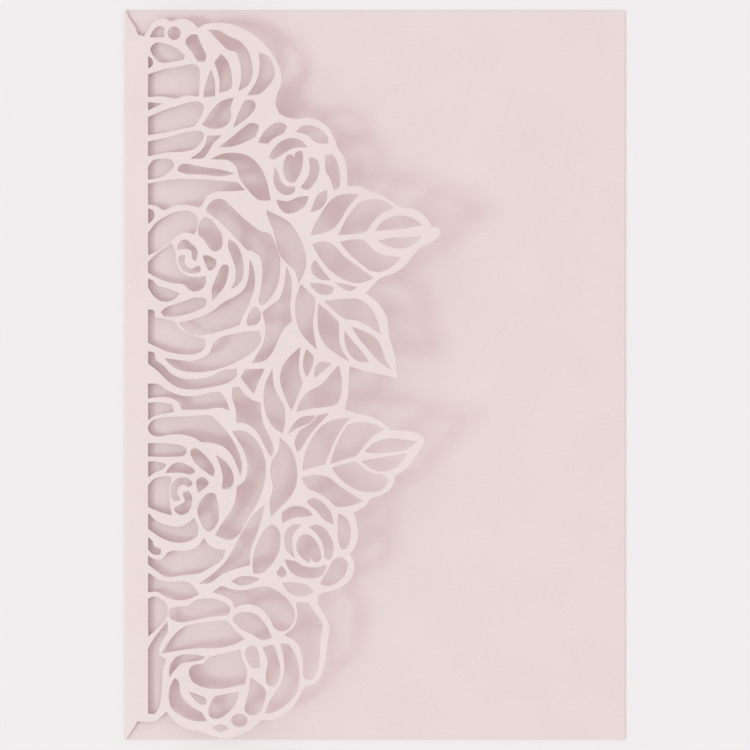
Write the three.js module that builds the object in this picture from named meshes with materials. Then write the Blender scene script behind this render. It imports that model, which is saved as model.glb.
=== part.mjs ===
// A pocket fold invitation: one sheet of card, folded once along its left side.
// The back panel lies flat, and a cut-work flap of roses and leaves opens a few degrees above it.
// Millimetres, +Z up. The fold runs along Y at the low end of X, and the panel's underside is Z = 0.

import * as THREE from 'three';
import { mergeGeometries, mergeVertices } from 'three/addons/utils/BufferGeometryUtils.js';

// Driving dimensions
const panelWidth = 127;
const panelHeight = 185;
const cardThickness = 0.3;
const foldRadius = 0.12;          // inside of the fold
const flapAngle = 10;             // degrees between the panel and the flap
const flapReach = 80.7;           // from the end of the fold to the tip of the longest leaf, along the flap
const stripWidth = 5.92;          // the plain strip between the fold and the lace
const cutWidening = 0.1;          // how far each cut reaches beyond its drawn line, which slims the bars
const foldSegments = 8;
const curveTolerance = 0.055;     // how far a cut edge may depart from its curve
const samplesPerSpan = 12;

// The flap is drawn on a fine grid. Columns count from the fold: the plain strip along it ends at column 23,
// and the longest leaf at column 313.5. Rows count from the top edge down to the foot at row 729.5.
const stripColumnSize = stripWidth / 23;
const laceColumnSize = (flapReach - stripWidth) / (313.5 - 23);
const rowSize = panelHeight / 729.5;
const k = true;                   // marks a sharp corner of an outline

function gridToFlap([column, row]) {
  const along = Math.min(column, 23) * stripColumnSize + Math.max(column - 23, 0) * laceColumnSize;
  return new THREE.Vector2(along, panelHeight / 2 - row * rowSize);
}

// Keeps the points of a run that it needs to stay within the tolerance, and both ends
function thin(run) {
  if (run.length < 3) return run;
  const first = run[0];
  const last = run[run.length - 1];
  const chord = last.clone().sub(first);
  const length = chord.length();
  let farthest = 0;
  let distance = 0;
  for (let i = 1; i < run.length - 1; i++) {
    const offset = run[i].clone().sub(first);
    const away = length > 0 ? Math.abs(chord.cross(offset)) / length : offset.length();
    if (away > distance) {
      distance = away;
      farthest = i;
    }
  }
  if (distance <= curveTolerance) return [first, last];
  const before = thin(run.slice(0, farthest + 1));
  const after = thin(run.slice(farthest));
  return [...before.slice(0, -1), ...after];
}

// Moves each point of an outline square to it: outward by a distance, or inward where the distance is below zero.
// Points on the fold stay where they are.
function widen(points, distance) {
  const flat = points.map(gridToFlap);
  const side = Math.sign(THREE.ShapeUtils.area(flat));
  return flat.map((point, i) => {
    const arriving = point.clone().sub(flat[(i + flat.length - 1) % flat.length]).normalize();
    const leaving = flat[(i + 1) % flat.length].clone().sub(point).normalize();
    const along = arriving.add(leaving);
    const stretch = Math.min(2 / Math.max(along.length(), 0.01), 1.5);
    const outward = new THREE.Vector2(along.y, -along.x).normalize().multiplyScalar(side * distance * stretch);
    return point.x > 0 ? point.add(outward) : point;
  });
}

// A closed outline through its points: smooth everywhere, and sharp at its marked corners
function smoothLoop(points, widening) {
  const start = Math.max(points.findIndex((point) => point[2]), 0);
  const places = widen(points, widening);
  const turned = [...points.slice(start), ...points.slice(0, start), points[start]];
  const turnedPlaces = [...places.slice(start), ...places.slice(0, start), places[start]];
  const stops = turned.map((point, i) => (point[2] || i === 0 || i === turned.length - 1 ? i : -1)).filter((i) => i >= 0);
  const noCorner = !points.some((point) => point[2]);
  const loop = [];
  for (let s = 0; s < stops.length - 1; s++) {
    const knots = turnedPlaces.slice(stops[s], stops[s + 1] + 1);
    const spans = knots.length - 1;
    const path = noCorner ? knots.slice(0, -1) : knots;
    const curve = new THREE.CatmullRomCurve3(path.map((knot) => new THREE.Vector3(knot.x, knot.y, 0)), noCorner);
    const run = curve.getPoints(spans * samplesPerSpan).map((point) => new THREE.Vector2(point.x, point.y));
    const half = Math.floor(run.length / 2);
    const kept = noCorner ? [...thin(run.slice(0, half + 1)).slice(0, -1), ...thin(run.slice(half))] : thin(run);
    loop.push(...kept.slice(0, -1));
  }
  return loop;
}

// An oval hole of the drawing, as an outline with no corner
function oval(column, row, columns, rows) {
  const points = [];
  for (let i = 0; i < 8; i++) {
    const turn = (i / 8) * 2 * Math.PI;
    points.push([column + columns * Math.cos(turn), row + rows * Math.sin(turn)]);
  }
  return points;
}

// The flap's edge from the top of the fold, round the roses and leaves, to the foot of the fold
const flapEdge = [
  [0, 0, k], [4, 8], [9, 15], [12.5, 24, k], [18, 25.5, k], [22, 19.5], [26, 13.5],
  [32, 9.5], [39, 8.5], [45.5, 11.5, k], [52, 9.5], [60, 9.5], [67, 12.5], [73, 18.5, k],
  [79, 15.5], [88, 14], [100, 14.5], [112, 17.5], [122, 22.5], [132, 29], [140, 36.5], [147, 45],
  [153, 55], [157, 66], [157, 77], [153, 87], [151.5, 97], [155, 106, k], [163, 109.5], [172, 111],
  [182, 110], [194, 113], [204, 121], [210, 132], [213, 141], [219, 150], [222, 162], [222.5, 178, k],
  [234, 178.5], [244, 183], [257, 188], [268, 195], [273, 199, k], [285, 200.5], [295, 205.5], [302, 213],
  [305, 219, k], [312, 220], [313.5, 227], [308, 233.5], [295, 240], [288, 247], [279, 258], [266, 266.5],
  [255, 270], [245, 280], [241, 284, k], [248, 289], [256, 298], [262, 310], [263, 323], [265.5, 333],
  [269, 344], [271, 356], [272, 369, k], [260, 366], [245, 363], [232, 359], [224.5, 357, k], [224, 370],
  [223.5, 384], [220, 398, k], [230, 401.5], [245, 405], [257, 411], [265, 418, k], [283, 419],
  [294, 422.5], [298.5, 430], [293.5, 439], [287, 448.5], [280, 457], [269, 464, k], [268.5, 470],
  [265, 477], [256, 483.5], [245, 487, k], [241, 493.5], [229, 500.5, k], [232, 511], [233, 524],
  [230, 535], [225, 541, k], [229, 548], [229.5, 557], [225, 567], [215, 575], [204, 579], [195, 582],
  [193, 590, k], [200, 601], [205, 613], [203, 630], [200, 650], [195, 665], [187, 671], [180, 673, k],
  [175, 683], [168.5, 693], [159, 701.5], [148, 707], [137, 707.5, k], [129, 715], [120, 720], [110, 725],
  [98, 727], [85, 723.5], [75, 720.5], [59, 717], [49, 710.5], [41, 701.5, k], [34, 708],
  [27, 711.5], [12, 711.5, k], [9, 717], [0, 729.5, k],
];

// Each rose, leaf or fan of rungs is a list of holes
const topRose = [
  [[25, 27, k], [28, 21], [33, 17.5], [38, 18.5], [38, 27, k]],
  oval(49, 24, 6, 6),
  [[25.5, 39], [30, 34], [40, 35], [52, 40.5], [59, 47, k], [58, 50, k], [35, 52], [28, 45.5]],
  [[23, 47, k], [26, 50], [26.5, 55], [23, 58, k]],
  [[23, 65, k], [38, 60.5], [54, 58], [68, 56], [73, 59.5], [74, 68], [73, 87, k], [61, 85.5],
    [50, 88.5], [37, 86], [23, 86.5, k]],
  [[61, 33], [64.5, 27.5], [71, 26.5], [75, 35], [80.5, 48], [79, 52.5, k], [73, 52, k], [68, 44]],
  [[86, 62, k], [89, 72], [89.5, 87, k], [79, 88, k], [81, 76]],
  [[96, 46.5, k], [102, 53], [106, 67], [105, 80], [95, 83.5, k], [95, 70], [90, 54, k]],
  [[84, 22, k], [94, 23], [104, 29], [114, 33.5], [121, 41], [125.5, 52], [127, 66], [123, 76.5],
    [114, 82, k], [117, 70], [115.5, 54], [111, 43.5], [103, 41], [93, 31]],
  [[134.5, 46, k], [142, 49], [148, 58], [149, 68], [143, 78], [134, 85.5], [123, 87, k], [130, 77.5],
    [134, 68], [135.5, 56]],
];

const upperRungs = [
  [[23, 93, k], [36, 94, k], [30, 96.5], [23, 99.5, k]],
  [[23, 107.5, k], [40, 101], [58, 95.5], [72, 93], [78, 97], [75, 108], [69, 116.5, k],
    [52, 119.5], [37, 122.5], [23, 124.5, k]],
  [[78, 115.5, k], [85, 105], [96, 93.5], [108, 90, k], [105, 100], [105.5, 109], [101, 116],
    [90, 119.5], [83, 118]],
  [[120, 93, k], [128, 93], [130, 99], [122, 109], [109, 118.5, k], [113, 108]],
  [[23, 132, k], [44, 128], [62, 123.5], [76, 123], [78, 128], [70, 138], [58, 141.5], [42, 142],
    [23, 145.5, k]],
  [[83, 127.5, k], [96, 127, k], [88, 133.5], [83, 142], [78, 148], [66, 149, k], [76, 142.5],
    [81, 135]],
  [[95, 138, k], [106, 130], [117, 121], [126, 115.5], [133, 118], [130, 128, k], [120, 133], [108, 137]],
  [[23, 157, k], [28, 151], [36, 149.5], [45, 150.5], [48, 155.5], [43, 162], [34, 167],
    [23, 169, k]],
  [[53, 160], [56, 155.5], [64, 155.5], [78, 158.5], [94, 161], [109, 164.5, k], [96, 166.5],
    [76, 164.5], [60, 163.5]],
  [[23, 174, k], [38, 171.5], [52, 170], [72, 170.5], [94, 172], [112, 174, k], [119.5, 181, k],
    [106, 181.5], [91, 182], [82, 186], [77, 194], [74, 197.5, k], [62, 194.5], [48, 195.5],
    [38, 199.5], [32, 195.5], [23, 194, k]],
  [[87, 150, k], [98, 145.5], [112, 145], [124, 148.5], [135, 159], [141.5, 174], [145, 191, k],
    [134, 190.5], [123, 180], [115, 168], [112, 158], [104, 151]],
];

const upperBud = [
  [[134, 134, k], [139, 125], [148, 117], [156, 115.5], [161, 119], [158, 125, k], [148, 130],
    [143, 135, k]],
  [[145, 149, k], [149, 141], [157, 134], [166, 131], [176, 133.5], [181.5, 139.5, k], [172, 139],
    [163, 142], [156, 146.5], [149, 150.5]],
  [[172, 124, k], [177, 119.5], [186, 119], [196, 123.5], [202, 131], [202, 136, k], [191, 134.5],
    [183, 127.5]],
  [[160, 153], [163, 147.5], [167, 148], [170, 150.5, k], [171, 145.5], [176, 144], [177, 155],
    [174, 166], [168, 174], [162, 171], [159, 162]],
  [[150, 160, k], [153, 166], [156, 174], [162, 178.5], [169, 179, k], [169, 183], [162, 186],
    [154, 182.5], [149.5, 173]],
  [[185, 151], [191, 152.5], [193.5, 162], [190, 173], [182, 181], [176.5, 179, k], [183, 170],
    [185.5, 160]],
  [[200.5, 148.5, k], [207, 148.5], [212, 158], [214, 170], [212.5, 180], [208.5, 181.5, k], [206, 172],
    [201, 163]],
  [[201, 183, k], [201, 191], [195, 200], [186, 203.5, k], [190, 194], [193, 187]],
  [[152, 191.5, k], [163, 193.5], [173, 189.5], [183, 188.5, k], [180, 196], [172, 202.5], [161, 204],
    [155, 198.5]],
];

const middleRose = [
  [[23, 199, k], [27, 201], [28, 207], [23, 213, k]],
  [[23, 223, k], [30, 214], [40, 207.5], [52, 202.5], [64, 202], [71, 207], [72, 216],
    [69, 224, k], [60, 222], [52, 224.5], [45, 231], [34, 239], [23, 244.5, k]],
  [[23, 252, k], [32, 244], [40, 238.5], [46, 234, k], [49.5, 242], [50.5, 253], [54.5, 261.5],
    [62, 266.5], [72, 268], [80, 267, k], [80.5, 272], [77.5, 277.5], [70, 281], [64, 279],
    [59, 274], [48, 272.5], [36, 269], [29, 265.5], [23, 262, k]],
  [[53, 239], [55, 233], [60, 230.5], [66, 234.5], [71.5, 241], [70.5, 251, k], [67.5, 248],
    [67, 241.5], [62, 238.5]],
  [[54.5, 247], [59, 246, k], [59, 254], [65, 259.5], [73.5, 256.5, k], [75, 260.5], [68, 263],
    [60, 261], [54.5, 254]],
  [[79, 246.5], [84, 247], [90.5, 251.5], [89, 257.5], [84.5, 260], [81.5, 255]],
  [[98.5, 256], [102.5, 256.5], [102.5, 265], [99, 276], [93.5, 283.5], [88, 290, k], [87.5, 280],
    [91.5, 269]],
  [[104, 230.5, k], [110, 234], [115.5, 244], [118, 256], [117, 268], [112, 275.5], [107, 278.5, k],
    [111, 270], [111.5, 260], [108, 249], [104, 238]],
  [[74, 219], [76, 212], [80, 208.5], [86, 211], [91, 217], [96, 225], [97, 233], [95, 239],
    [89, 241], [84, 237], [79, 229], [74, 225]],
  [[82, 201], [86, 193.5], [92, 190.3], [99, 191.5], [106, 198], [116, 207.5], [126, 216], [136, 223],
    [145, 225.5], [150, 236], [154, 248], [154.5, 262], [151.5, 277], [145, 288], [137, 294.5],
    [134, 291, k], [137, 278], [138, 260], [136, 248], [130, 242.5], [122, 240, k], [113, 230],
    [104, 220.5], [96, 212.5], [88, 206]],
  [[23, 269, k], [27, 271], [32, 276], [42, 279], [54, 283.5, k], [48, 289], [39, 291], [30, 287],
    [23, 277, k]],
  [[36.5, 302], [42, 297.5], [56, 293], [70, 288.5], [80, 289.5], [80, 295], [69, 301], [54, 305],
    [40, 306]],
  [[23, 300, k], [28, 301], [29, 308, k], [40, 309.5], [49, 312.5], [55, 320], [66, 325.5],
    [80, 329.5, k], [78.5, 338], [72, 342.5], [57, 343.5], [42, 340.5], [23, 332, k]],
  [[125, 251, k], [128, 259], [129.5, 269], [128.5, 280], [125, 290], [121, 300], [116, 309],
    [114.5, 314.5, k], [104, 318], [90, 322], [76, 324.5], [66, 323.5], [60, 319], [54.5, 313, k],
    [64, 311], [77, 307], [88, 301.5], [99, 293], [110, 287.5], [119, 280.5], [123.5, 271], [125, 260]],
  [[40, 348.5, k], [52, 350], [64, 351.5], [76, 349], [85, 343], [89, 334], [96, 328], [108, 325],
    [122, 322], [134, 322, k], [135.5, 330], [130, 339], [118, 347.5], [104, 354.5], [88, 359.5],
    [70, 361.5], [56, 359.5], [46, 354.5]],
  [[142, 202, k], [152, 207], [163, 213.5], [172, 225], [178, 239], [180.5, 252], [178, 264],
    [173.5, 273, k], [170.5, 262], [163, 254.5], [156, 246.5], [152, 234], [148.5, 220], [144, 210]],
  [[161.5, 258, k], [165, 267], [166, 280], [164.5, 296], [166.5, 311.5, k], [159, 318], [153, 329],
    [148, 340], [140, 349.5], [128, 352.5, k], [134, 343], [139.5, 332], [141.5, 318], [138, 303, k],
    [145, 297], [154, 291], [159.5, 278]],
  [[123, 314.5], [124.5, 305], [130, 298], [134, 300.5], [135, 309], [131, 314]],
  [[23, 342, k], [28, 343], [30, 350], [38, 356], [45, 363.5], [56, 368.5], [70, 369.5],
    [85, 367], [98, 361], [111, 359, k], [111, 365], [102, 372], [86, 376], [68, 378.5], [54, 377],
    [43, 370.5], [34, 361.5], [23, 353, k]],
];

const lowerRose = [
  [[23, 374, k], [32, 374.5], [42, 380.5], [56, 386], [72, 386], [88, 382.5], [95, 382, k],
    [100, 389], [104, 399, k], [94, 396.5], [80, 398.5], [57, 398.5, k], [54, 392], [46, 387],
    [34, 386], [23, 387.5, k]],
  [[23, 393, k], [34, 392.5], [46, 394.5, k], [48, 401, k], [36, 403], [28, 405.5], [23, 409, k]],
  [[23, 417], [26, 411.5], [36, 408], [62, 406.5], [86, 406], [94, 413.5], [104, 425], [112, 439],
    [116.5, 454], [115.5, 463.5, k], [112, 453], [106, 442], [98, 435], [86, 431.5], [76, 430.5],
    [68, 426], [58, 423.5], [44, 423.5], [32, 425.5], [25, 422.5]],
  [[23, 433.5, k], [42, 433.5], [58, 436.5], [61, 440.5], [58, 444.5], [48, 445.5], [23, 445.5, k]],
  [[23, 451.5, k], [32, 452], [40, 454.5], [35, 459], [29, 461.5], [23, 466, k]],
  [[41, 462, k], [46, 455.5], [54, 452.5], [64, 456], [69, 460.5], [66, 463], [56, 461.5]],
  [[66, 440.5], [70, 438], [79, 444.5], [86, 453], [89, 460], [88, 465, k], [81, 460.5],
    [72, 453], [67, 446]],
  [[91.5, 445, k], [100, 451], [106.5, 460.5], [108, 471], [104, 477], [97.5, 477, k], [98.5, 467],
    [96, 455]],
  [[23, 475, k], [27, 470.5], [35, 467], [45, 467.5], [43.5, 478], [43.5, 489], [46, 504, k],
    [35, 501], [23, 496, k]],
  [[47, 487], [46, 480], [48, 472.5], [54, 468], [63, 468.5], [66.5, 472.5], [64, 475.5],
    [58, 473], [52.5, 476.5], [51.5, 483], [54, 488.5], [50, 490]],
  [[58.5, 483], [62.5, 481], [66, 486], [65.5, 495], [61, 502], [54, 503], [49.5, 498.5],
    [55, 494.5], [60.5, 491]],
  [[72, 470], [77, 467], [83, 472], [79, 477], [73.5, 481, k]],
  [[73, 499], [77, 489], [84, 483], [89.5, 483.5], [92, 493], [93.5, 504], [90.5, 514],
    [84, 519.5], [79.5, 517], [75, 508]],
  [[23, 503.5, k], [30, 510.5], [41, 515], [54, 516.5], [64, 512], [69, 508, k], [72.5, 516],
    [71.5, 525, k], [62, 530], [50, 531], [36, 526.5], [23, 518, k]],
  [[23, 527.5, k], [26.5, 531], [28, 536], [34.5, 538.5], [34, 543], [28, 543], [23, 539, k]],
  [[23, 546, k], [28, 549], [37, 549], [42, 543], [48, 540.5, k], [62, 540.5], [73, 535.5],
    [79, 528, k], [83, 533.5], [91, 538], [100, 539, k], [97, 547], [86, 555], [74, 561.5],
    [58, 563.5], [41, 565.5], [32, 560], [23, 553.5, k]],
  [[108, 421, k], [118, 420.5], [127, 425.5], [135, 436.5], [139.5, 450], [140, 466], [136, 482],
    [128, 498], [120, 511], [114, 522], [106, 527.5], [98, 526.5], [91, 523.5, k], [98, 512],
    [106, 501], [111.5, 488], [112.5, 476, k], [120, 470], [123.5, 458], [120.5, 442], [114, 430]],
];

const upperLeaf = [
  [[186.5, 226, k], [191, 215], [198, 204], [205, 193.5], [214, 188], [233, 187, k], [222, 199],
    [214.5, 211.5], [208, 219.5], [198, 224]],
  [[214, 226, k], [219, 215.5], [227, 203], [236, 195], [248, 192.5], [260, 195.5], [267, 200, k],
    [255, 205.5], [246, 214], [240, 222.5], [228, 225.5]],
  [[250, 222.5, k], [258, 213.5], [270, 209], [283, 210.5], [295, 217.5, k], [280, 220], [264, 221.5]],
  [[253, 233, k], [266, 230.5], [280, 230.5], [294, 229, k], [284, 237.5], [274, 240], [262, 237.5]],
  [[215.5, 234, k], [226, 232], [238, 233], [246, 241], [258, 247.5], [274, 249.5, k], [266, 257.5],
    [255, 262.5], [245, 261.5], [234, 253.5], [223, 243.5]],
  [[188, 236, k], [197, 233.5], [207, 236.5], [217, 247], [231, 258], [247, 269.5, k], [234, 273.5],
    [222, 271.5], [209, 264], [197, 251.5]],
  [[187, 257], [190, 252.5], [196.5, 261], [205, 271, k], [195, 269.5], [188, 263.5]],
  [[185.5, 274.5, k], [195, 275], [208, 278.5, k], [206, 283.5], [196, 284.5], [189, 280]],
  [[210, 273.5, k], [220, 276], [231, 278.5, k], [224, 281.5], [217, 278.5]],
];

const middleLeaf = [
  [[116.5, 367, k], [120.5, 359.5, k], [139, 359, k], [134.5, 368], [128.5, 382.5, k], [122.5, 375]],
  [[108, 378, k], [113, 377], [120, 385], [128, 390.5], [135, 392.5, k], [136, 406], [140, 418],
    [145.5, 429], [148, 440], [146, 445, k], [141, 436], [135, 424], [128, 416], [120, 412],
    [112, 411.5, k], [111.5, 399], [108, 387]],
  [[147.5, 359.5, k], [148, 374], [153, 386], [158.5, 396], [159.5, 410], [157.5, 421.5, k], [150, 417],
    [143, 406], [139.5, 391], [141, 374]],
  [[172, 400.5, k], [177, 389], [185, 381], [197, 374], [205, 365], [213, 356, k], [216, 370], [215, 383],
    [211, 392.5], [204, 395], [188, 397]],
  [[175, 338, k], [173.5, 350], [173.5, 361], [177, 373, k], [172, 386], [166.5, 399, k], [161, 387],
    [156.5, 374], [156, 364], [159, 355], [166, 346]],
  [[181.5, 340, k], [187.5, 346], [187, 354], [182, 366, k], [179, 358], [179, 349]],
  [[190, 366.5, k], [191, 357], [196, 352.5], [205, 353.5, k], [198, 360]],
  [[200, 292, k], [216, 290.5], [232, 290.5], [241, 295.5], [249, 307], [254, 323.5, k], [243, 316],
    [231, 310.5], [219, 308.5], [210, 301.5]],
  [[227, 318, k], [236, 321.5], [248, 327.5], [254.5, 337], [258, 348], [264, 358.5, k], [255, 352.5],
    [244, 340.5], [234, 328.5]],
  [[219.5, 322, k], [225, 330], [233, 339], [243, 351.5, k], [234, 351], [226, 345.5], [220.5, 335]],
  [[193.5, 295, k], [203, 303], [213, 313, k], [213, 326], [215, 338], [223, 350.5, k], [213, 344.5],
    [202, 336], [195, 324], [193, 309]],
  [[176, 275.5, k], [182, 282], [189, 289.5], [189, 300], [187, 313], [188.5, 327], [191.5, 339, k],
    [182, 329.5], [175, 320], [171.5, 307], [171.5, 290]],
];

const lowerLeaf = [
  [[155.5, 427.5, k], [162, 434], [168.5, 445], [171.5, 460], [170, 475], [163, 487], [154, 496],
    [146.5, 504.5, k], [145.5, 490], [149, 476], [146, 462], [148, 450], [154, 440]],
  [[164, 422, k], [169, 413.5], [178, 406.5], [189.5, 405, k], [184, 411.5], [173, 416]],
  [[172.5, 440.5, k], [170.5, 431], [175, 420.5], [185, 414], [193, 405.5], [203, 403, k], [193, 413],
    [183, 425], [177, 435]],
  [[178, 458.5, k], [180, 445], [186, 430], [195, 417.5], [207, 410], [224, 407, k], [215, 418],
    [208, 431], [203, 443], [199, 452.5, k], [189, 455]],
  [[205.5, 452, k], [209, 440], [215.5, 426], [224, 414], [235, 412], [247, 413.5], [258, 418.5, k],
    [247, 424], [238, 433.5], [230, 444, k], [218, 447.5]],
  [[239.5, 440, k], [248, 432.5], [260, 428], [274, 428.5], [290, 430.5, k], [280, 437], [264, 440],
    [250, 441]],
  [[236, 449.5, k], [248, 447.5], [263, 445], [280, 442, k], [274, 450.5], [266, 456.5], [256, 459],
    [246, 456.5]],
  [[207, 456.5, k], [218, 453.5], [229, 451], [237, 456.5], [246, 462], [256, 463.5], [261, 468],
    [257, 475.5], [248, 479], [236, 478.5], [224, 473.5], [214, 465]],
  [[177.5, 466.5, k], [189, 464], [202, 466], [213, 474], [225, 482], [236, 488.5, k], [224, 493],
    [211, 493.5], [203, 486.5], [192, 480], [183, 476]],
];

const lowerBud = [
  [[158, 510.5, k], [158, 502], [164, 496.5], [174, 495], [182, 498], [187, 503, k], [178, 504.5],
    [168, 505.5]],
  [[183, 490], [189, 487], [197, 491], [204.5, 500], [208, 511.5, k], [199, 506.5], [191, 497.5]],
  [[172, 533], [175, 525.5], [181, 522.5], [188, 526.5], [193.5, 536], [195.5, 545], [192.5, 549, k],
    [188, 547.5], [185.5, 541.5, k], [184, 549.5, k], [178, 545.5], [173.5, 540]],
  [[185, 515, k], [192, 513], [200.5, 518.5], [206.5, 529], [207.5, 539], [204.5, 546], [200, 544],
    [199, 534], [193.5, 523]],
  [[175, 513, k], [167, 514], [161.5, 520], [160, 528.5], [162.5, 538], [169, 544.5, k], [166.5, 534],
    [167.5, 523]],
  [[160, 547.5, k], [170, 549.5], [178, 554], [190, 555.5], [200.5, 553, k], [198, 560], [190, 564.5],
    [178, 564.5], [168, 560.5], [163, 554]],
  [[152.5, 561], [156.5, 554, k], [161, 561], [157, 564.5]],
  [[158.5, 570.5, k], [170, 570.5], [181, 572.5], [188, 578.5, k], [180, 582.5], [170, 582], [163, 578]],
  [[195.5, 570.5, k], [202.5, 558.5], [209, 547.5], [216, 545], [221.5, 550.5], [219.5, 560],
    [212.5, 568], [204, 572]],
  [[213.5, 502, k], [220, 506], [224, 515], [224, 526], [220.5, 535], [216.5, 535.5], [213.5, 526],
    [213, 513]],
  [[139, 494.5, k], [136, 507], [131, 523], [125.5, 537], [124.5, 552.5, k], [112, 556], [98, 561.5],
    [84, 571], [75, 572, k], [88, 563], [101, 550.5], [110, 536], [119, 519], [129, 504]],
  [[147, 513.5], [153, 518], [155, 529], [153, 540], [146, 552], [137, 560], [129, 561, k],
    [128.5, 548], [133, 532], [140, 519]],
  [[107, 569.5, k], [116, 565.3], [128, 565.5], [134.5, 567, k], [127, 570.5], [116, 573]],
];

const footRose = [
  [[23, 563, k], [27, 566], [34, 570], [46, 571.5], [60, 571], [67, 574.5], [73, 582.5, k],
    [64, 587], [52, 588.5], [40, 585], [32, 580.5], [23, 581, k]],
  [[89, 580.5, k], [96, 575.5], [106, 578], [119, 579], [130, 576.5], [142, 575], [153, 579.5],
    [163, 588], [169, 600], [166, 612], [158, 617.5], [151, 615.5], [145.5, 606], [138, 596.5],
    [126, 591.5], [116, 592.5], [110, 595, k], [107.5, 588.5], [99, 583.5]],
  [[23, 589, k], [27, 586.5], [35, 589], [41, 595], [41.5, 603], [37.5, 611], [30, 618.5],
    [23, 625, k]],
  [[41.5, 611, k], [35, 620], [27, 631], [23, 638, k], [23, 702, k], [28, 702.5], [32, 698],
    [35, 687], [36, 670], [37, 657], [40, 648.5, k], [34, 645], [32.5, 639], [36, 630], [41.5, 620]],
  [[44.5, 605], [45, 599], [50, 596.5], [62, 595.5], [71, 589.5], [84, 587.5], [97, 590],
    [104.5, 596], [103, 601.5], [86, 604.5], [70, 608], [56, 610.5], [48, 608.5]],
  [[37, 642, k], [44, 631], [53, 620.5], [62, 615], [82, 611], [102, 610], [109, 617.5],
    [119, 626.5, k], [108, 632], [92, 635.5], [72, 636], [54, 638.5]],
  [[109, 607], [113, 602], [123, 600.5], [132, 603.5], [140, 612], [146.5, 624.5, k], [137, 626.5],
    [128, 621.5], [117, 616.5]],
  [[44, 665.5, k], [45, 656], [49.5, 648], [56, 644.5], [69, 643.5], [80, 645.5, k], [73, 648.5],
    [62, 650], [54.5, 652.5], [49, 658.5]],
  [[50, 668], [53.5, 672.5], [54, 680], [59, 689], [68, 696.5], [76.5, 701, k], [81, 708.5, k],
    [70, 708.5], [57, 704], [47, 696.5], [44, 684], [46, 674]],
  [[64.5, 659], [69, 654], [78, 652.5], [84, 646, k], [98, 642], [115, 637.5, k], [117, 647],
    [121.5, 657], [119.5, 671, k], [108, 673.5], [94, 676], [78, 674.5], [67, 668.5]],
  [[64.5, 680.5, k], [74, 684], [80.5, 687.5], [80, 692], [72, 689.5]],
  [[86, 692], [90, 685.5], [101, 682], [113.5, 679.5, k], [110.5, 690], [103, 699.5], [94, 705.5],
    [86, 704.5], [84, 698.5]],
  oval(114.5, 707.5, 7.5, 5.8),
  [[88, 715.5, k], [95.5, 712.5], [103.5, 715.5, k], [96, 718.5]],
  [[121, 640], [125, 634], [131, 635.5], [134, 645], [134.5, 654, k], [128, 654.5], [123, 647.5]],
  [[138.5, 635, k], [148, 633], [151.5, 642], [154.5, 654], [153.5, 665], [149, 672], [143, 670.5],
    [141.5, 661], [143.5, 648]],
  [[156, 631, k], [163, 632], [169, 640], [173, 652], [173.5, 668], [170, 680], [161, 690], [150, 697.5],
    [141, 699.5, k], [144.5, 690], [151, 679], [157.5, 668], [160, 655], [159, 642]],
  [[126, 665.5, k], [134, 671], [140, 677.5], [139, 687], [134.5, 698], [127, 701.5], [120.5, 697.5],
    [122.5, 686], [125, 676]],
  [[172, 590, k], [183, 590, k], [189, 599], [196.5, 611], [194.5, 626], [194, 642], [191.5, 657],
    [186, 665], [180, 663.5], [178.5, 648], [175.5, 634], [169.5, 626.5], [160, 622, k], [169, 615],
    [173, 603]],
];

const holes = [
  topRose, upperRungs, upperBud, middleRose, upperLeaf, middleLeaf, lowerLeaf, lowerRose, lowerBud, footRose,
].flat();

// The flap flat on its own plane: X away from the fold, Y along it, Z through the card
function makeFlap() {
  const shape = new THREE.Shape(smoothLoop(flapEdge, -cutWidening).reverse());
  shape.holes = holes.map((hole) => new THREE.Path(smoothLoop(hole, cutWidening)));
  return new THREE.ExtrudeGeometry(shape, { depth: cardThickness, bevelEnabled: false });
}

// A geometry with only positions, no index, and without the faces that lie wholly on the plane X = 0
function openAtFold(geometry) {
  const flat = geometry.index ? geometry.toNonIndexed() : geometry;
  const source = flat.getAttribute('position');
  const kept = [];
  for (let i = 0; i < source.count; i += 3) {
    const onFold = [0, 1, 2].every((j) => Math.abs(source.getX(i + j)) < 1e-6);
    if (onFold) continue;
    for (let j = 0; j < 3; j++) kept.push(source.getX(i + j), source.getY(i + j), source.getZ(i + j));
  }
  const open = new THREE.BufferGeometry();
  open.setAttribute('position', new THREE.Float32BufferAttribute(kept, 3));
  return open;
}

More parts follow.
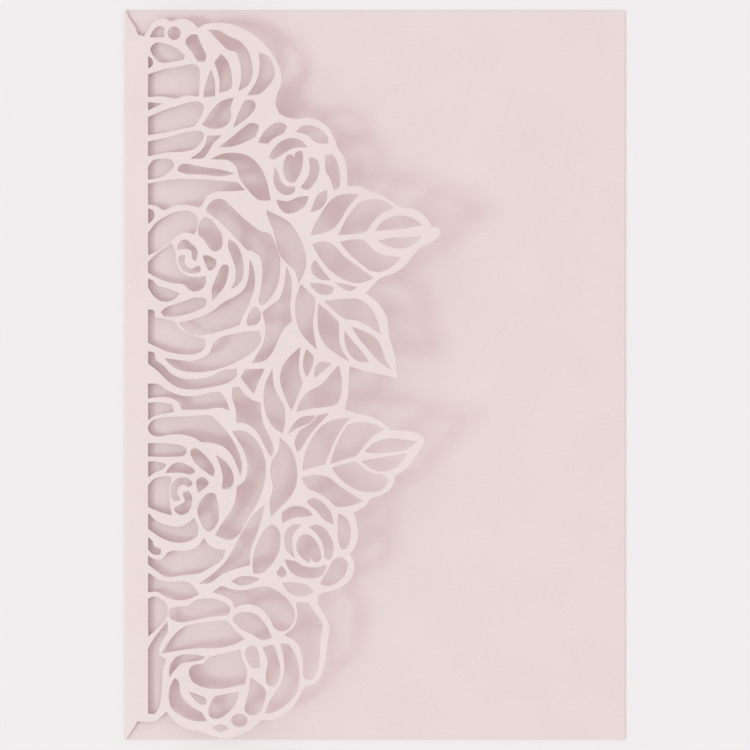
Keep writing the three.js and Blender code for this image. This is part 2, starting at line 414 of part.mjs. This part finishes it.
// The back panel and the fold: pairs of points on the outer and inner face, carried along Y
function makePanelAndFold(angle) {
  const outerRadius = foldRadius + cardThickness;
  const centreX = -panelWidth / 2 + outerRadius;
  const centreZ = cardThickness + foldRadius;
  const pairs = [[panelWidth / 2, 0, panelWidth / 2, cardThickness]];
  for (let i = 0; i <= foldSegments; i++) {
    const turn = -Math.PI / 2 - (i / foldSegments) * (Math.PI - angle);
    const x = Math.cos(turn);
    const z = Math.sin(turn);
    pairs.push([
      centreX + outerRadius * x, centreZ + outerRadius * z,
      centreX + foldRadius * x, centreZ + foldRadius * z,
    ]);
  }
  const low = -panelHeight / 2;
  const high = panelHeight / 2;
  const corners = [];
  const quad = (a, b, c, d) => corners.push(...a, ...b, ...c, ...a, ...c, ...d);
  for (let i = 0; i + 1 < pairs.length; i++) {
    const [outerX, outerZ, innerX, innerZ] = pairs[i];
    const [nextOuterX, nextOuterZ, nextInnerX, nextInnerZ] = pairs[i + 1];
    quad([outerX, low, outerZ], [nextOuterX, low, nextOuterZ], [nextOuterX, high, nextOuterZ], [outerX, high, outerZ]);
    quad([innerX, low, innerZ], [innerX, high, innerZ], [nextInnerX, high, nextInnerZ], [nextInnerX, low, nextInnerZ]);
    quad([outerX, low, outerZ], [innerX, low, innerZ], [nextInnerX, low, nextInnerZ], [nextOuterX, low, nextOuterZ]);
    quad([outerX, high, outerZ], [nextOuterX, high, nextOuterZ], [nextInnerX, high, nextInnerZ], [innerX, high, innerZ]);
  }
  const [edgeX, edgeLow, , edgeHigh] = pairs[0];
  quad([edgeX, low, edgeLow], [edgeX, high, edgeLow], [edgeX, high, edgeHigh], [edgeX, low, edgeHigh]);
  const geometry = new THREE.BufferGeometry();
  geometry.setAttribute('position', new THREE.Float32BufferAttribute(corners, 3));
  const [, , flapX, flapZ] = pairs[pairs.length - 1];
  return { geometry, flapStart: new THREE.Vector3(flapX, 0, flapZ) };
}

function makeFoldedSheet() {
  const angle = THREE.MathUtils.degToRad(flapAngle);
  const { geometry: panelAndFold, flapStart } = makePanelAndFold(angle);
  const flap = openAtFold(makeFlap());
  flap.applyMatrix4(new THREE.Matrix4().makeRotationY(-angle).setPosition(flapStart));
  return mergeVertices(mergeGeometries([panelAndFold, flap]), 1e-4);
}

const blushCard = new THREE.MeshStandardMaterial({ color: 0xe8d7d6, roughness: 0.5, metalness: 0 });

const foldedSheet = new THREE.Mesh(makeFoldedSheet(), blushCard);
foldedSheet.name = 'folded_sheet';

const invitation = new THREE.Group();
invitation.name = 'pocket_fold_invitation';
invitation.add(foldedSheet);

export default invitation;
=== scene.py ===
import math

import bpy
import bmesh
import numpy as np
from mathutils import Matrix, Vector
from mathutils.geometry import delaunay_2d_cdt


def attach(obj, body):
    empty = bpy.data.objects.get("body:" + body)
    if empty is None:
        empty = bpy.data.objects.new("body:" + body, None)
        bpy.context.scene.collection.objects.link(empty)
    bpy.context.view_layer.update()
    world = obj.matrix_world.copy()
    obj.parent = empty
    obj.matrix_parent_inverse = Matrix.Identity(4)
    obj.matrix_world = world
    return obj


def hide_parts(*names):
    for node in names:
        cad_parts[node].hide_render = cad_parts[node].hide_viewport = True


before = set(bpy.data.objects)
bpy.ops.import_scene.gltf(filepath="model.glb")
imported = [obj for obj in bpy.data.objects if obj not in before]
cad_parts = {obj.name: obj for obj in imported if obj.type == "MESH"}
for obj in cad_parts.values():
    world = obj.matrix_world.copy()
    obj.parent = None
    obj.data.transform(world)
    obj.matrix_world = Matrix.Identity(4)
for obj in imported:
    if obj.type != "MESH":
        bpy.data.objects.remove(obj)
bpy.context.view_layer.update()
bpy.context.scene.view_settings.view_transform = "Standard"
print("stage: card frame loaded")

# The sheet, in metres, degrees and radians per metre
card = {
    "panelWidth": 0.127,
    "panelHeight": 0.185,
    "thickness": 0.0003,
    "foldRadius": 0.00012,         # inside of the fold
    "flapAngle": 10.0,             # between the panel and the flap
    "lip": 0.00003,                # softened lip of each laser cut
    "lipCorner": 0.3,              # share of the lip that the panel's outer corners are cut back
    "slimming": 0.00006,           # how far the cut has eaten into each side of a bar
    "cornerTurn": 32.0,            # an outline that turns more than this at a point is sharp there
    "straightStretch": 0.006,      # both ends of a longer stretch of outline are sharp
    "pointsPerStretch": 3,         # how finely each stretch of a cut outline is rounded
    "loosePointStep": 0.0022,      # spacing of the points inside the lace, which let it settle
    "loosePointRoom": 0.0005,      # how far those points stay from a cut
    "settle": 0.0006,              # how far the lace settles at most, at the reach from the fold
    "settleReach": 0.08,
    "settleEvenly": 0.5,           # share of the settling that is the same all along the fold
    "broadWave": (0.3, 74, 0.6, 60, -0.4),   # share, then pace and start along the fold and away from it
    "fineWave": (0.2, 173, 95),    # share, then pace along the fold and away from it
    "foldRings": 22,               # sections round the fold
    "panelRings": 30,              # sections along the panel
    "stations": 48,                # points of a section on each face
    "smoothTurn": 28.0,            # faces that meet at a sharper turn are shaded apart
}

touching = 2e-6                    # points nearer than this are one point
onFold = 1e-6                      # outline points nearer than this to the fold's line are on it
tiny = 1e-9

thickness = card["thickness"]
lip = card["lip"]
angle = math.radians(card["flapAngle"])
outerRadius = card["foldRadius"] + thickness
foldCentre = np.array([-card["panelWidth"] / 2 + outerRadius, thickness + card["foldRadius"]])
outward = np.array([math.cos(angle), math.sin(angle)])      # along the flap, away from the fold, in X and Z
upward = np.array([-math.sin(angle), math.cos(angle)])      # square to the flap
flapStart = foldCentre + card["foldRadius"] * upward
halfHeight = card["panelHeight"] / 2


# A point (u, v, w) of the flap is flapStart + u * outward + w * upward in X and Z, and v in Y.
# The lace settles a little below its flat plane, in slow waves that grow with the square of u.
def flapToRoom(flapPoints):
    u, v, w = flapPoints.T
    share, paceV, startV, paceU, startU = card["broadWave"]
    waves = card["settleEvenly"] + share * np.sin(v * paceV + startV) * np.cos(u * paceU + startU)
    share, paceV, paceU = card["fineWave"]
    waves = waves + share * np.sin(v * paceV + u * paceU)
    height = w - card["settle"] * (u / card["settleReach"]) ** 2 * waves
    x = flapStart[0] + u * outward[0] + height * upward[0]
    z = flapStart[1] + u * outward[1] + height * upward[1]
    return np.column_stack([x, v, z])


# The cut outlines of the flap as (u, v): the edges that only one triangle of its lower face uses,
# followed from one to the next until each loop closes
def cutOutlines():
    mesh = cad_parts["folded_sheet"].data
    places = np.empty(len(mesh.vertices) * 3)
    mesh.vertices.foreach_get("co", places)
    places = places.reshape(-1, 3)
    corners = np.empty(len(mesh.loops), dtype=np.int64)
    mesh.loops.foreach_get("vertex_index", corners)
    across = places[:, [0, 2]] - flapStart
    flat = np.column_stack([across @ outward, places[:, 1], across @ upward])
    micrometres = np.round(flat * 1e6).astype(np.int64)
    _, first, merged = np.unique(micrometres, axis=0, return_index=True, return_inverse=True)
    flat = flat[first]
    triangles = merged.reshape(-1)[corners].reshape(-1, 3)
    onLowerFace = (np.abs(flat[:, 2]) < touching) & (flat[:, 0] > -touching)
    triangles = triangles[onLowerFace[triangles].all(axis=1)]
    edges = np.vstack([triangles[:, [0, 1]], triangles[:, [1, 2]], triangles[:, [2, 0]]])
    pairs, uses = np.unique(np.sort(edges, axis=1), axis=0, return_counts=True)
    usedOnce = set(map(tuple, pairs[uses == 1]))
    following = {a: b for a, b in edges.tolist() if (min(a, b), max(a, b)) in usedOnce}
    loops = []
    while following:
        start = next(iter(following))
        loop = [start]
        step = following.pop(start)
        while step != start:
            loop.append(step)
            step = following.pop(step)
        loops.append(flat[loop, :2])
    return loops


# A Hermite curve through the points of a loop. Its tangent at a point is the chord between the two neighbours
# over the length of the two stretches, or at a sharp point the direction of the stretch itself.
def roundedLoop(points):
    before = np.roll(points, 1, axis=0)
    after = np.roll(points, -1, axis=0)
    toward = points - before
    away = after - points
    turn = np.arctan2(toward[:, 0] * away[:, 1] - toward[:, 1] * away[:, 0], (toward * away).sum(axis=1))
    lengths = np.linalg.norm(away, axis=1)
    longest = np.maximum(lengths, np.roll(lengths, 1))
    sharp = (np.abs(turn) > math.radians(card["cornerTurn"])) | (longest > card["straightStretch"])
    tangent = (after - before) / (np.roll(lengths, 1) + lengths)[:, None]
    straight = away / lengths[:, None]
    leaving = np.where(sharp[:, None], straight, tangent) * lengths[:, None]
    nextSharp = np.roll(sharp, -1)
    nextTangent = np.roll(tangent, -1, axis=0)
    arriving = np.where(nextSharp[:, None], straight, nextTangent) * lengths[:, None]
    t = (np.arange(card["pointsPerStretch"]) / card["pointsPerStretch"])[None, :, None]
    curve = ((2 * t ** 3 - 3 * t ** 2 + 1) * points[:, None] + (t ** 3 - 2 * t ** 2 + t) * leaving[:, None]
             + (3 * t ** 2 - 2 * t ** 3) * after[:, None] + (t ** 3 - t ** 2) * arriving[:, None])
    return curve.reshape(-1, 2)


# Moves each point of a loop by an amount into the card, which lies to the left of the loop's direction:
# along the left normal of the sum of the two unit directions that meet there
def intoCard(loop, amount):
    before = loop - np.roll(loop, 1, axis=0)
    after = np.roll(loop, -1, axis=0) - loop
    before = before / np.maximum(np.linalg.norm(before, axis=1), tiny)[:, None]
    after = after / np.maximum(np.linalg.norm(after, axis=1), tiny)[:, None]
    mean = before + after
    leastMean = 0.5                # a spike, whose directions nearly cancel, moves less
    mean = mean / np.maximum(np.linalg.norm(mean, axis=1), leastMean)[:, None]
    return loop + amount * np.column_stack([-mean[:, 1], mean[:, 0]])


# True where a point is inside the card: a ray to its right crosses the outlines an odd number of times
def insideCard(points, loops):
    inside = np.zeros(len(points), dtype=bool)
    for loop in loops:
        end = np.roll(loop, -1, axis=0)
        low = loop.min(axis=0)
        high = loop.max(axis=0)
        near = (points[:, 1] >= low[1]) & (points[:, 1] <= high[1]) & (points[:, 0] <= high[0])
        some = points[near]
        above = (loop[:, 1][None] > some[:, 1:]) != (end[:, 1][None] > some[:, 1:])
        rise = np.where(end[:, 1] == loop[:, 1], 1, end[:, 1] - loop[:, 1])
        slope = (end[:, 0] - loop[:, 0]) / rise
        meeting = loop[:, 0][None] + (some[:, 1:] - loop[:, 1][None]) * slope[None]
        inside[near] ^= ((above & (some[:, :1] < meeting)).sum(axis=1) % 2).astype(bool)
    return inside


# Half the sum of the cross products of neighbouring points, positive where a loop runs anticlockwise
def signedArea(loop):
    after = np.roll(loop, -1, axis=0)
    return (loop[:, 0] * after[:, 1] - loop[:, 1] * after[:, 0]).sum() / 2


# The rounded outlines with the card to their left: the flap's own edge first, from the foot of the fold
# round to its top and open along the fold, and then the holes
def makeOutlines():
    outlines = []
    for i, loop in enumerate(sorted(cutOutlines(), key=lambda loop: -abs(signedArea(loop)))):
        rounded = roundedLoop(loop)
        wanted = 1 if i == 0 else -1
        if np.sign(signedArea(rounded)) != wanted:
            rounded = rounded[::-1]
        if i == 0:
            rounded = rounded[rounded[:, 0] > onFold]        # the fold gets even stations instead
            jump = np.argmax(np.linalg.norm(np.roll(rounded, -1, axis=0) - rounded, axis=1))
            rounded = np.roll(rounded, -(jump + 1), axis=0)
        rounded = intoCard(rounded, card["slimming"])
        if i == 0:
            rounded = np.vstack([[0, -halfHeight], rounded, [0, halfHeight]])
        outlines.append(rounded)
    return outlines


# The laser cut walls: each outline repeated at four depths, a lip's width inside the card on the two faces
def makeCutWalls(outlines):
    depths = [0, lip, thickness - lip, thickness]
    points, faces, cutShare, insets, starts = [], [], [], [], []
    count = 0
    for i, loop in enumerate(outlines):
        inset = intoCard(loop, lip)
        if i == 0:
            inset[0] = [0, -halfHeight + lip]
            inset[-1] = [0, halfHeight - lip]
        n = len(loop)
        for row, depth in enumerate(depths):
            onFace = row in (0, len(depths) - 1)
            points.append(np.column_stack([inset if onFace else loop, np.full(n, depth)]))
            cutShare.append(np.full(n, 0.0 if onFace else 1.0))
        a = np.arange(n if i else n - 1)
        b = (a + 1) % n
        for row in range(len(depths) - 1):
            low = count + row * n
            high = low + n
            faces.append(np.column_stack([low + a, low + b, high + b]))
            faces.append(np.column_stack([low + a, high + b, high + a]))
        insets.append(inset)
        starts.append(count)
        count += len(depths) * n
    return points, faces, cutShare, insets, starts, count


# Points on a square grid inside the card, clear of every cut
def makeLoosePoints(edge, closed):
    low = edge.min(axis=0)
    high = edge.max(axis=0)
    step = card["loosePointStep"]
    awayFromFold = np.arange(low[0] + step, high[0], step)
    alongFold = np.arange(low[1], high[1], step)
    columns, rows = np.meshgrid(awayFromFold, alongFold)
    loose = np.column_stack([columns.ravel(), rows.ravel()])
    loose = loose[insideCard(loose, closed)]
    everyEdge = np.vstack(closed)
    clear = np.ones(len(loose), dtype=bool)
    batches = 20                   # which keeps the table of distances small
    for part in np.array_split(np.arange(len(loose)), batches):
        gaps = np.linalg.norm(loose[part][:, None] - everyEdge[None], axis=2).min(axis=1)
        clear[part] = gaps > card["loosePointRoom"]
    return loose[clear]


# The flap: its cut walls, and two broad faces that fill the outlines with triangles between the walls' lips,
# the stations of the fold and the loose points
def makeFlap(stations):
    outlines = makeOutlines()
    points, faces, cutShare, insets, starts, count = makeCutWalls(outlines)
    foldLine = np.column_stack([np.zeros(len(stations) - 2), stations[1:-1]])
    closed = [np.vstack([insets[0], foldLine[::-1]]), *insets[1:]]
    extra = np.vstack([foldLine, makeLoosePoints(outlines[0], closed)])
    for depth in (0, thickness):
        points.append(np.column_stack([extra, np.full(len(extra), depth)]))
        cutShare.append(np.zeros(len(extra)))
    # Where each flat point is on the lower face and on the upper one
    lowIndex = [start + np.arange(len(inset)) for start, inset in zip(starts, insets)]
    highIndex = [low + 3 * len(low) for low in lowIndex]
    lowIndex = np.concatenate([*lowIndex, count + np.arange(len(extra))])
    highIndex = np.concatenate([*highIndex, count + len(extra) + np.arange(len(extra))])
    # The edges that the triangles must keep: each loop, with the fold's stations closing the first
    links = []
    start = 0
    afterInsets = sum(map(len, insets))
    for i, inset in enumerate(insets):
        ring = start + np.arange(len(inset))
        if i == 0:
            ring = np.concatenate([ring, afterInsets + np.arange(len(foldLine))[::-1]])
        links.append(np.column_stack([ring, np.roll(ring, -1)]))
        start += len(inset)
    flatPoints = np.vstack([*insets, extra])
    millimetres = [Vector(point) for point in flatPoints * 1000]
    insideOnly = 1
    nearest = 1e-6                 # millimetres between two points that count as one
    made = delaunay_2d_cdt(millimetres, np.vstack(links).tolist(), [], insideOnly, nearest, True)
    source = np.array([sources[0] if sources else -1 for sources in made[3]])
    triangles = source[np.array(made[2])]
    triangles = triangles[insideCard(flatPoints[triangles].mean(axis=1), closed)]
    print("stage: lace faces", len(triangles), "new crossings", int((source < 0).sum()))
    faces.append(lowIndex[triangles[:, ::-1]])
    faces.append(highIndex[triangles])
    return flapToRoom(np.vstack(points)), np.vstack(faces), np.concatenate(cutShare)


# The panel and fold: the sheet's closed section along Y, carried from the open side round the fold.
# Round the fold a point is foldCentre + radius * (cos turn, sin turn), from straight down through -X.
def makePanelAndFold(stations):
    flatX = np.linspace(card["panelWidth"] / 2 - lip, foldCentre[0], card["panelRings"], endpoint=False)
    flatPath = np.column_stack([flatX, np.zeros_like(flatX)])
    flatNormal = np.tile([0.0, 1.0], (len(flatX), 1))
    turn = -math.pi / 2 - np.linspace(0, math.pi - angle, card["foldRings"])
    direction = np.column_stack([np.cos(turn), np.sin(turn)])
    path = np.vstack([flatPath, foldCentre + outerRadius * direction])
    normal = np.vstack([flatNormal, -direction])          # from the outer face to the inner one
    k = len(stations)
    topEnd = [halfHeight, halfHeight]
    footEnd = [-halfHeight, -halfHeight]
    rising = [lip, thickness - lip]
    sectionY = np.concatenate([stations, topEnd, stations[::-1], footEnd])
    depth = np.concatenate([np.zeros(k), rising, np.full(k, thickness), rising[::-1]])
    cut = np.concatenate([np.zeros(k), [1, 1], np.zeros(k), [1, 1]])
    across = path[:, None] + depth[None, :, None] * normal[:, None]
    rings = np.stack([across[..., 0], np.broadcast_to(sectionY, across.shape[:2]), across[..., 1]], axis=-1)
    # The open side's cut wall stands a lip's width beyond the first ring
    corner = halfHeight - card["lipCorner"] * lip
    wallY = np.where(np.abs(sectionY) >= halfHeight - tiny, np.sign(sectionY) * corner, sectionY)
    wallZ = np.clip(depth, lip, thickness - lip)
    wall = np.column_stack([np.full(len(depth), card["panelWidth"] / 2), wallY, wallZ])
    rings = np.concatenate([wall[None], rings])
    count, size = rings.shape[:2]
    index = np.arange(count * size).reshape(count, size)
    a = index[:-1]
    b = index[1:]
    quads = np.stack([a, b, np.roll(b, -1, axis=1), np.roll(a, -1, axis=1)], axis=-1).reshape(-1, 4)
    # The wall itself, between its lower and upper stations and at its two ends
    low = index[0, :k]
    high = index[0, k + 2:2 * k + 2][::-1]
    wallQuads = np.column_stack([low[:-1], low[1:], high[1:], high[:-1]])
    topQuad = [low[-1], index[0, k], index[0, k + 1], high[-1]]
    footQuad = [index[0, -1], low[0], high[0], index[0, -2]]
    quads = np.vstack([quads, wallQuads, [topQuad], [footQuad]])
    triangles = np.vstack([quads[:, [0, 1, 2]], quads[:, [0, 2, 3]]])
    cutShare = np.concatenate([np.ones(size), np.tile(cut, count - 1)])
    return rings.reshape(-1, 3), triangles, cutShare


# The flap joined to the panel and fold where their stations meet. The attribute cutEdge is 1 on the laser's
# cut and 0 elsewhere.
def makeSheet():
    stations = np.linspace(-halfHeight + lip, halfHeight - lip, card["stations"])
    flapPoints, flapFaces, flapCut = makeFlap(stations)
    panelPoints, panelFaces, panelCut = makePanelAndFold(stations)
    points = np.vstack([flapPoints, panelPoints])
    faces = np.vstack([flapFaces, panelFaces + len(flapPoints)])
    mesh = bpy.data.meshes.new("blushCardSheet")
    mesh.from_pydata(points.tolist(), [], faces.tolist())
    cutShare = np.concatenate([flapCut, panelCut]).astype(np.float32)
    mesh.attributes.new("cutEdge", "FLOAT", "POINT").data.foreach_set("value", cutShare)
    work = bmesh.new()
    work.from_mesh(mesh)
    bmesh.ops.remove_doubles(work, verts=work.verts, dist=touching)
    bmesh.ops.recalc_face_normals(work, faces=work.faces)
    openEdges = sum(1 for edge in work.edges if len(edge.link_faces) != 2)
    work.to_mesh(mesh)
    work.free()
    mesh.polygons.foreach_set("use_smooth", np.ones(len(mesh.polygons), dtype=bool))
    mesh.set_sharp_from_angle(angle=math.radians(card["smoothTurn"]))
    mesh.update()
    made = bpy.data.objects.new("blushCardSheet", mesh)
    bpy.context.collection.objects.link(made)
    print("stage: sheet made,", len(mesh.polygons), "triangles,", openEdges, "open edges")
    return made


# A socket of a material, so that shader maths reads as plain sums
class Wire:
    def __init__(self, tree, socket):
        self.tree = tree
        self.socket = socket

    def math(self, operation, first, second):
        node = self.tree.nodes.new("ShaderNodeMath")
        node.operation = operation
        for i, value in enumerate((first, second)):
            if isinstance(value, Wire):
                self.tree.links.new(value.socket, node.inputs[i])
            else:
                node.inputs[i].default_value = value
        return Wire(self.tree, node.outputs[0])

    def __add__(self, other):
        return self.math("ADD", self, other)

    def __radd__(self, other):
        return self.math("ADD", other, self)

    def __sub__(self, other):
        return self.math("SUBTRACT", self, other)

    def __rsub__(self, other):
        return self.math("SUBTRACT", other, self)

    def __mul__(self, other):
        return self.math("MULTIPLY", self, other)

    def __rmul__(self, other):
        return self.math("MULTIPLY", other, self)

    def between(self, low, high):
        return self.math("MAXIMUM", self.math("MINIMUM", self, high), low)


# A material and its nodes
class Palette:
    def __init__(self, name):
        self.material = bpy.data.materials.new(name)
        self.material.use_nodes = True
        self.tree = self.material.node_tree
        self.shader = self.tree.nodes["Principled BSDF"]

    def fill(self, node, name, value):
        if isinstance(value, Wire):
            self.tree.links.new(value.socket, node.inputs[name])
        else:
            node.inputs[name].default_value = value

    def node(self, kind, settings=None, values=None, output=0):
        node = self.tree.nodes.new(kind)
        for name, value in (settings or {}).items():
            setattr(node, name, value)
        for name, value in (values or {}).items():
            self.fill(node, name, value)
        return Wire(self.tree, node.outputs[output])

    def noise(self, scale, detail, roughness):
        place = self.node("ShaderNodeTexCoord", output="Object")
        return self.node("ShaderNodeTexNoise", values={
            "Vector": place, "Scale": scale, "Detail": detail, "Roughness": roughness})

    # Sockets 6 and 7 are the two colours of a Mix node, and its output 2 is the mixed one
    def blend(self, share, one, other):
        return self.node("ShaderNodeMix", {"data_type": "RGBA"}, {0: share, 6: one, 7: other}, output=2)

    def feed(self, name, value):
        self.fill(self.shader, name, value)


# Pale blush card with a pearl coat. A pattern is its features per metre, its detail and its roughness.
blushFinish = {
    "paper": (0.815, 0.690, 0.688, 1),
    "paperDeep": (0.785, 0.650, 0.650, 1),     # slow clouds in the pulp
    "pearlGlint": (0.870, 0.790, 0.775, 1),         # painted glints: fine bright flecks that stand in for the pearl coat's sparkle
    "scorch": (0.560, 0.370, 0.300, 1),        # where the laser has browned the cut
    "clouds": (60.0, 4, 0.5),
    "flecks": (2600.0, 2, 0.6),
    "fibres": (900.0, 5, 0.65),
    "cloudContrast": 1.6,
    "cloudStart": -0.3,
    "fleckStart": 0.52,
    "fleckContrast": 2.2,
    "mostFleck": 0.6,
    "scorchShare": 0.62,
    "scorchUnevenness": 0.5,
    "mostScorch": 0.85,
    "roughness": 0.46,
    "fibreRoughness": 0.12,
    "cutRoughness": 0.25,
    "coat": 0.12,
    "coatRoughness": 0.35,
    "bumpDepth": 0.000012,                     # metres
    "bumpStrength": 0.5,
    "bumpOfFibres": 0.7,                       # the rest of the bump is the flecks'
}


def makeBlushCard():
    palette = Palette("blushCard")
    clouds = palette.noise(*blushFinish["clouds"])
    flecks = palette.noise(*blushFinish["flecks"])
    fibres = palette.noise(*blushFinish["fibres"])
    cut = palette.node("ShaderNodeAttribute", {"attribute_name": "cutEdge"}, output="Fac")
    pale = (clouds * blushFinish["cloudContrast"] + blushFinish["cloudStart"]).between(0.0, 1.0)
    colour = palette.blend(pale, blushFinish["paperDeep"], blushFinish["paper"])
    # Painted glints: bright flecks where the pearl coat's sparkle is painted into the colour
    paintedGlint = (flecks - blushFinish["fleckStart"]) * blushFinish["fleckContrast"]
    paintedGlint = paintedGlint.between(0.0, blushFinish["mostFleck"])
    colour = palette.blend(paintedGlint, colour, blushFinish["pearlGlint"])
    uneven = blushFinish["scorchUnevenness"] * (clouds + fibres - 1)
    browned = (cut * (blushFinish["scorchShare"] + uneven)).between(0.0, blushFinish["mostScorch"])
    colour = palette.blend(browned, colour, blushFinish["scorch"])
    roughness = blushFinish["roughness"] + blushFinish["fibreRoughness"] * (fibres - 0.5)
    height = fibres * blushFinish["bumpOfFibres"] + flecks * (1 - blushFinish["bumpOfFibres"])
    bump = palette.node("ShaderNodeBump", values={
        "Strength": blushFinish["bumpStrength"], "Distance": blushFinish["bumpDepth"], "Height": height})
    palette.feed("Base Color", colour)
    palette.feed("Roughness", roughness + blushFinish["cutRoughness"] * cut)
    palette.feed("Coat Weight", blushFinish["coat"])
    palette.feed("Coat Roughness", blushFinish["coatRoughness"])
    palette.feed("Normal", bump)
    return palette.material


sheet = makeSheet()
sheet.data.materials.append(makeBlushCard())
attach(sheet, "root")
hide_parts("folded_sheet")
print("stage: card finished")

# Floor, light and camera
studio = {
    "floor": (0.872, 0.845, 0.852, 1),
    "floorRoughness": 0.8,
    "floorReach": 3.0,                         # metres from the middle to each side
    "floorDrop": 0.00003,                      # how far it is below the card's underside
    "sunStrength": 0.77,
    "sunColour": (0.55, 1.0, 0.88),
    "sunAngle": 17.0,                          # degrees across, which softens the shadows
    "towardLight": (-0.97, -0.45, 1.0),
    "fill": (1.0, 0.916, 0.941, 1),
    "fillStrength": 0.918,
    "cameraHeight": 0.65,
    "nearestSeen": 0.05,
    "sensorWidth": 36,                         # millimetres
    "pixelsAcross": 750,
    "metresPerPixel": 0.000254,
}

reach = studio["floorReach"]
around = ((-1, -1), (1, -1), (1, 1), (-1, 1))
corners = [(x * reach, y * reach, -studio["floorDrop"]) for x, y in around]
floorMesh = bpy.data.meshes.new("paleFloor")
floorMesh.from_pydata(corners, [], [(0, 1, 2, 3)])
floor = bpy.data.objects.new("paleFloor", floorMesh)
bpy.context.collection.objects.link(floor)
floorFinish = Palette("paleFloor")
floorFinish.feed("Base Color", studio["floor"])
floorFinish.feed("Roughness", studio["floorRoughness"])
floorMesh.materials.append(floorFinish.material)

lamp = bpy.data.lights.new("softLamp", "SUN")
lamp.energy = studio["sunStrength"]
lamp.color = studio["sunColour"]
lamp.angle = math.radians(studio["sunAngle"])
lampObject = bpy.data.objects.new("softLamp", lamp)
lampObject.rotation_euler = Vector(studio["towardLight"]).to_track_quat("Z", "Y").to_euler()
bpy.context.collection.objects.link(lampObject)

world = bpy.data.worlds.new("paleRoom")
world.use_nodes = True
background = world.node_tree.nodes["Background"]
background.inputs["Color"].default_value = studio["fill"]
background.inputs["Strength"].default_value = studio["fillStrength"]
bpy.context.scene.world = world

camera = bpy.data.cameras.new("topCamera")
camera.sensor_width = studio["sensorWidth"]
widthSeen = studio["pixelsAcross"] * studio["metresPerPixel"]
camera.lens = studio["sensorWidth"] * studio["cameraHeight"] / widthSeen
camera.clip_start = studio["nearestSeen"]
cameraObject = bpy.data.objects.new("topCamera", camera)
cameraObject.location = (0, 0, studio["cameraHeight"])
bpy.context.collection.objects.link(cameraObject)
bpy.context.scene.camera = cameraObject
print("stage: floor, light and camera set")
